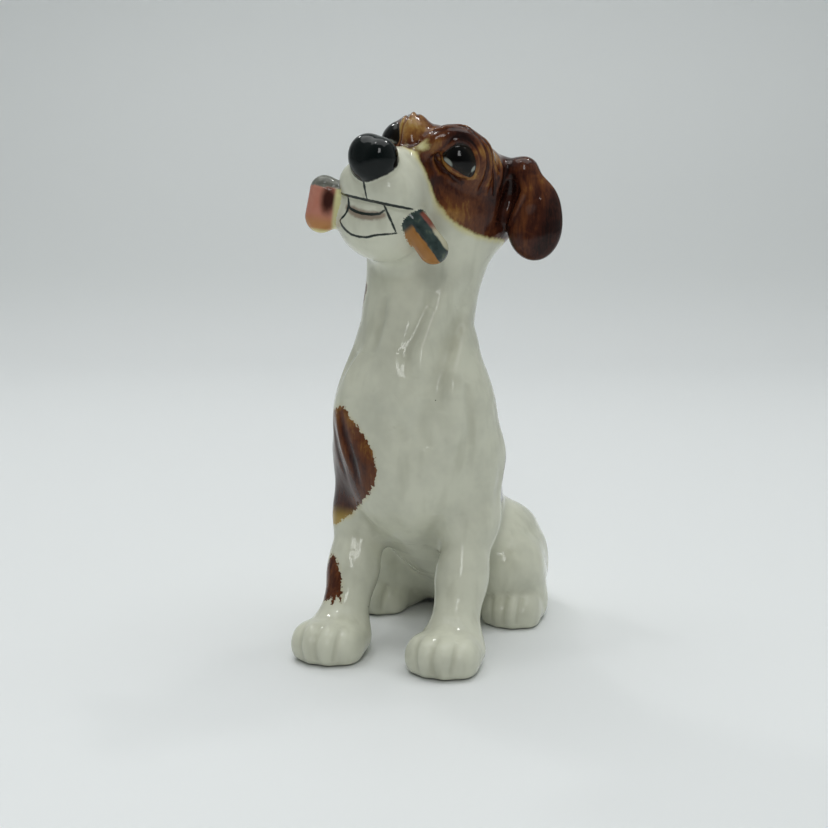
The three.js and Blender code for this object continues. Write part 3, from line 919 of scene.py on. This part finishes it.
class Glaze(Nodes):
    """Clear glossy glaze over brushed colour, a little uneven in thickness."""

    def __init__(self, name):
        super().__init__(name)
        self.spot = self.node("ShaderNodeTexCoord").outputs["Object"]
        self.hollow = self.attribute("hollow")

    def stops(self, value, colours):
        n = self.node("ShaderNodeValToRGB", {0: value})
        e = n.color_ramp.elements
        while len(e) < len(colours):
            e.new(0.5)
        for stop, (where, colour) in zip(e, colours):
            stop.position, stop.color = where, (*colour, 1)
        return n.outputs["Color"]

    def swayed(self, value, noise, by):
        """The value moved either way with a noise, by that much between its ends."""
        return self.math("MULTIPLY_ADD", self.math("SUBTRACT", noise, 0.5), by, value)

    def brushed(self, distance, ragged=0.0, soft=0.12, scale=900.0):
        """1 inside a painted shape whose edge wavers by about that many millimetres."""
        if ragged:
            distance = self.swayed(distance, self.noise(self.spot, scale, 3.0, 0.6), 2.4 * ragged)
        return self.ramp(distance, -soft, soft, 1.0, 0.0)

    def white(self):
        """White, a little cloudy, greener where it runs, and darker in the hollows: partly glaze that pools
        there, partly painted shade.
        """
        cloud = self.noise(self.spot, 120.0, 3.0, 0.55)
        base = self.mix(self.ramp(cloud, 0.35, 0.7), WHITE, tuple(c * 0.86 for c in WHITE))
        runs = self.noise(self.place((1, 1, 0.3)), 260.0, 2.0, 0.5)
        base = self.mix(self.ramp(runs, 0.5, 0.75, 0.0, 0.35), base, POOLED_AND_SHADED)
        # darker in the hollows and folds: partly glaze that pools there, partly painted shade
        return self.mix(self.ramp(self.hollow, 0.0, -1.3, 0.0, 0.5, smooth=False), base, POOLED_AND_SHADED)

    def brown(self, tone, stretch=(1, 1, 0.22), turn=(0, 0, 0), scale=1500.0):
        """Brown brushwork: thin and tan on the ridges, dark in the creases, partly where the glaze pools and
        partly painted shade.
        """
        streaks = self.noise(self.place(stretch, turn), scale, 4.0, 0.65, 0.4)
        blots = self.noise(self.spot, 300.0, 3.0, 0.6, 0.6)
        value = self.math("MULTIPLY_ADD", tone, 0.5, 0.5)
        value = self.swayed(value, streaks, 0.55)
        value = self.swayed(value, blots, 0.5)
        # darker in the creases: partly glaze that pools there, partly painted shade; lighter where it thins
        # over ridges
        pool_and_shade = self.ramp(self.hollow, -0.8, 0.8, 0.5, -0.5)
        value = self.math("MULTIPLY_ADD", pool_and_shade, 0.30, value, clamp=True)
        return self.stops(value, BROWNS)

    def finish(self, colour, rough=0.07, bump=1.0):
        self.feed(self.shader.inputs["Base Color"], colour)
        self.feed(self.shader.inputs["Roughness"], rough)
        self.shader.inputs["IOR"].default_value = GLAZE_IOR
        waves = self.noise(self.spot, 260.0, 2.0, 0.5)
        fine = self.noise(self.spot, 1300.0, 1.0, 0.5)
        height = self.math("MULTIPLY_ADD", fine, 0.12, waves)
        n = self.node("ShaderNodeBump", {"Height": height, "Strength": 1.0, "Distance": 0.00013 * bump})
        self.feed(self.shader.inputs["Normal"], n.outputs[0])
        return self.material


def glaze_body():
    g = Glaze("glaze_body")
    colour = g.white()
    patch = g.attribute("brown")
    height = g.node("ShaderNodeSeparateXYZ", {0: g.spot}).outputs[2]
    # metres up, where the chest patch runs out thin above the elbow
    faded = g.math("MULTIPLY", g.ramp(height, 0.0315, 0.0275), g.ramp(height, 0.024, 0.026))
    edge = g.brushed(patch, 0.7, 0.9, 700.0)
    colour = g.mix(g.math("MULTIPLY", edge, g.ramp(faded, 0.0, 1.0, 0.4, 0.9)), colour, STRAW)
    darker = g.ramp(patch, -4.5, 0.0, 0.34, -0.12), g.ramp(height, 0.046, 0.032, 0.0, 0.3)
    brown = g.brown(g.math("ADD", *darker), (1, 1, 0.16), (0, 30, 0), 1300.0)
    brown = g.mix(g.math("MULTIPLY", faded, 0.75), brown, FADED)
    colour = g.mix(g.brushed(patch, 1.1, 0.12, 1100.0), colour, brown)
    black = g.brown(1.0, (1, 1, 0.3))
    colour = g.mix(g.brushed(g.attribute("black"), 1.2, 0.12, 1000.0), colour, black)
    specks = g.node("ShaderNodeTexVoronoi", {"Vector": g.spot, "Scale": 110.0}).outputs["Distance"]
    colour = g.mix(g.ramp(specks, 0.022, 0.012), colour, SPECK)
    return g.finish(colour)


def glaze_head():
    g = Glaze("glaze_head")
    colour = g.white()
    mask = g.attribute("mask")
    fringe = g.brushed(mask, 0.5, 1.1, 500.0)
    colour = g.mix(g.math("MULTIPLY", fringe, 0.85), colour, FRINGE)
    tone = g.math("ADD", g.attribute("tone"), 0.24)
    brown = g.brown(tone, (1, 1, 0.35), (0, 35, 0), 1200.0)
    colour = g.mix(g.brushed(g.math("ADD", mask, 0.55), 0.45, 0.45, 800.0), colour, brown)
    # the painted shadow under the lower lip
    shade = g.mix(g.noise(g.spot, 500.0), *LIP_SHADOW)
    colour = g.mix(g.math("MULTIPLY", g.brushed(g.attribute("shade"), 0.3, 0.35), 0.8), colour, shade)
    colour = g.mix(g.brushed(g.attribute("lines"), 0.12, 0.08), colour, INK)
    ball, lid = g.attribute("ball"), g.attribute("lid")
    iris = g.mix(g.ramp(lid, -0.4, -1.3), IRIS, PUPIL)
    colour = g.mix(g.brushed(g.math("SUBTRACT", ball, 0.3), 0.0, 0.08), colour, iris)
    on_ball = g.brushed(g.math("SUBTRACT", ball, 0.2), 0.0, 0.1)
    sclera = g.math("MULTIPLY", g.brushed(g.attribute("sclera"), 0.2, 0.25), on_ball)
    colour = g.mix(g.math("MULTIPLY", sclera, 0.8), colour, SCLERA)
    nose = g.brushed(g.math("SUBTRACT", g.attribute("nose"), 0.18), 0.1, 0.1)
    return g.finish(g.mix(nose, colour, NOSE_BLACK))


def glaze_ear():
    g = Glaze("glaze_ear")
    tone = g.math("ADD", g.attribute("tone"), 0.72)
    return g.finish(g.brown(tone, (1, 1, 0.10), (0, 12, 0), 1500.0))


def glaze_toe():
    g = Glaze("glaze_toe")
    across, along = g.attribute("across"), g.attribute("along")
    wave = g.swayed(across, g.noise(g.spot, 500.0), 0.8)
    green = g.stops(g.noise(g.spot, 420.0), GREENS)
    orange = g.mix(g.noise(g.spot, 260.0, 3.0), *ORANGE)
    band = g.math("MULTIPLY", g.ramp(wave, 0.25, 0.6), g.ramp(along, -3.6, -2.2))
    colour = g.mix(band, green, orange)
    lining = g.mix(g.ramp(along, -1.2, 1.2), RED_LINING, PALE_LINING)
    inner = g.math("MULTIPLY", g.ramp(wave, -2.0, -2.4), g.ramp(along, -4.4, -3.6))
    return g.finish(g.mix(inner, colour, lining))


def glaze_heel():
    g = Glaze("glaze_heel")
    across, along = g.attribute("across"), g.attribute("along")
    pink = g.mix(g.noise(g.spot, 350.0, 3.0), *PINK)
    colour = g.mix(g.ramp(along, -1.5, -4.6), pink, HEEL_TAN)
    # an oval red spot, measured in its own radii
    spread = g.swayed(along, g.noise(g.spot, 500.0), 1.6)
    u = g.math("MULTIPLY", g.math("SUBTRACT", across, 1.4), 0.62)
    v = g.math("MULTIPLY", g.math("SUBTRACT", spread, 1.0), 0.36)
    away = g.node("ShaderNodeCombineXYZ", {0: u, 1: v}).outputs[0]
    away = g.node("ShaderNodeVectorMath", {0: away}, operation="LENGTH").outputs["Value"]
    colour = g.mix(g.math("MULTIPLY", g.ramp(away, 1.5, 0.45), 0.95), colour, HEEL_RED)
    colour = g.mix(g.ramp(across, 2.2, 3.2), colour, HEEL_EDGE)
    colour = g.mix(g.ramp(along, -4.9, -5.8), colour, HEEL_END)
    cap = g.mix(g.noise(g.place((1, 1, 0.4)), 900.0, 3.0), *CAP)
    edge = g.swayed(along, g.noise(g.spot, 600.0), 1.0)
    return g.finish(g.mix(g.ramp(edge, 3.3, 3.9), colour, cap))


BODY, EAR = glaze_body(), glaze_ear()
GLAZES = {"head": glaze_head(), "ear_left": EAR, "ear_right": EAR, "slipper_toe": glaze_toe(),
          "slipper_heel": glaze_heel()}
for name, (at, faces, normals, hollow) in MESHES.items():
    mesh = bpy.data.meshes.new(name + "_form")
    mesh.from_pydata((at + SHIFT) / 1000, [], faces)
    for key, values in paint_layers(name, at, normals, hollow).items():
        layer = mesh.attributes.new(key, "FLOAT", "POINT")
        layer.data.foreach_set("value", values.astype(np.float32))
    mesh.polygons.foreach_set("use_smooth", np.ones(len(faces), bool))
    mesh.update()
    mesh.normals_split_custom_set_from_vertices(normals.tolist())
    piece = bpy.data.objects.new("glazed_" + name, mesh)
    bpy.context.scene.collection.objects.link(piece)
    mesh.materials.append(GLAZES.get(name, BODY))
    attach(piece, "root")
    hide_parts(name)


# ---- stage, light and camera --------------------------------------------------------------------
VIEW_TURN, VIEW_PITCH = math.radians(20), math.radians(8.3)  # round from the dog's front, and down
CAMERA_AT = np.array((102.2, -285.3, 95))  # mm, in the figure's own axes


def sweep():
    """A pale table that curves up into a backdrop."""
    near, deep, high, bend, wide = -2.2, 0.55, 1.4, 0.30, 3.0
    line = [(near, 0.0), (deep, 0.0)]
    line += [
        (deep + bend * math.sin(a), bend * (1 - math.cos(a))) for a in np.linspace(0, math.pi / 2, 24)[1:]
    ]
    line.append((deep + bend, high))
    c, s = math.cos(VIEW_TURN), math.sin(VIEW_TURN)
    verts = [(x * c - y * s, x * s + y * c, z) for x in (-wide, wide) for y, z in line]
    n = len(line)
    faces = [(i, i + n, i + n + 1, i + 1) for i in range(n - 1)]
    mesh = bpy.data.meshes.new("backdrop")
    mesh.from_pydata(verts, [], faces)
    mesh.polygons.foreach_set("use_smooth", np.ones(len(faces), bool))
    backdrop = bpy.data.objects.new("backdrop", mesh)
    bpy.context.scene.collection.objects.link(backdrop)
    n = Nodes("backdrop_paper")
    up = n.node("ShaderNodeSeparateXYZ", {0: n.node("ShaderNodeTexCoord").outputs["Object"]}).outputs["Z"]
    # one paper throughout, painted darker at the foot of the curve and a little darker up the wall: painted
    # shade
    table, shaded_foot, shaded_wall = (0.79, 0.805, 0.81), (0.71, 0.73, 0.73), (0.77, 0.79, 0.79)
    paper = n.mix(n.ramp(up, 0.07, 0.24), n.mix(n.ramp(up, -0.01, 0.06), table, shaded_foot), shaded_wall)
    n.feed(n.shader.inputs["Base Color"], paper)
    n.shader.inputs["Roughness"].default_value = 0.55
    mesh.materials.append(n.material)


def area_light(name, at, towards, power, size, colour=(1, 1, 1)):
    lamp = bpy.data.lights.new(name, "AREA")
    lamp.energy, lamp.shape, lamp.color = power, "RECTANGLE", colour
    lamp.size, lamp.size_y = size
    ob = bpy.data.objects.new(name, lamp)
    ob.location = at
    ob.rotation_euler = (Vector(towards) - Vector(at)).to_track_quat("-Z", "Y").to_euler()
    bpy.context.scene.collection.objects.link(ob)


def lights():
    """A broad ceiling, three small windows and a tall door that the eyes and nose mirror."""
    area_light("ceiling", (0.0, 0.1, 1.15), (0, 0.0, 0.0), 6.6, (1.3, 0.9), (0.98, 1.0, 0.99))
    for i, at in enumerate([(-0.42, 0.34, 0.62), (0.16, 0.34, 0.78), (-0.20, -0.10, 0.92)]):
        area_light("window_%d" % i, at, (0, 0, 0.06), 0.42, (0.08, 0.035))
    face = np.array((0, 0, 0.1))
    door = SKULL.axes @ np.array((0.318, -0.783, 0.486))
    area_light("door", tuple(0.9 * door + face), tuple(face), 1.5, (0.16, 0.36))


def room():
    """The glow all round: dim low in front, bright behind and above."""
    world = bpy.data.worlds.new("room")
    bpy.context.scene.world = world
    world.use_nodes = True
    tree = world.node_tree
    where = tree.nodes.new("ShaderNodeSeparateXYZ")
    tree.links.new(tree.nodes.new("ShaderNodeTexCoord").outputs["Generated"], where.inputs[0])
    glow = tree.nodes.new("ShaderNodeMapRange")
    glow.inputs["From Min"].default_value, glow.inputs["From Max"].default_value = -1.0, 0.6
    glow.inputs["To Min"].default_value, glow.inputs["To Max"].default_value = 0.11, 0.62
    tree.links.new(where.outputs["Y"], glow.inputs["Value"])
    tree.links.new(glow.outputs["Result"], tree.nodes["Background"].inputs["Strength"])
    tree.nodes["Background"].inputs["Color"].default_value = (0.82, 0.87, 0.865, 1)


def set_camera():
    camera = bpy.data.objects.new("camera", bpy.data.cameras.new("camera"))
    bpy.context.scene.collection.objects.link(camera)
    bpy.context.scene.camera = camera
    camera.data.lens, camera.data.sensor_width = 60, 36
    camera.data.clip_start, camera.data.clip_end = 0.01, 20
    level = math.cos(VIEW_PITCH)
    looking = Vector((-math.sin(VIEW_TURN) * level, math.cos(VIEW_TURN) * level, -math.sin(VIEW_PITCH)))
    camera.location = (CAMERA_AT + SHIFT) / 1000
    camera.rotation_euler = looking.to_track_quat("-Z", "Y").to_euler()


sweep()
lights()
room()
set_camera()
bpy.context.scene.view_settings.view_transform = "Standard"

bpy.context.view_layer.update()
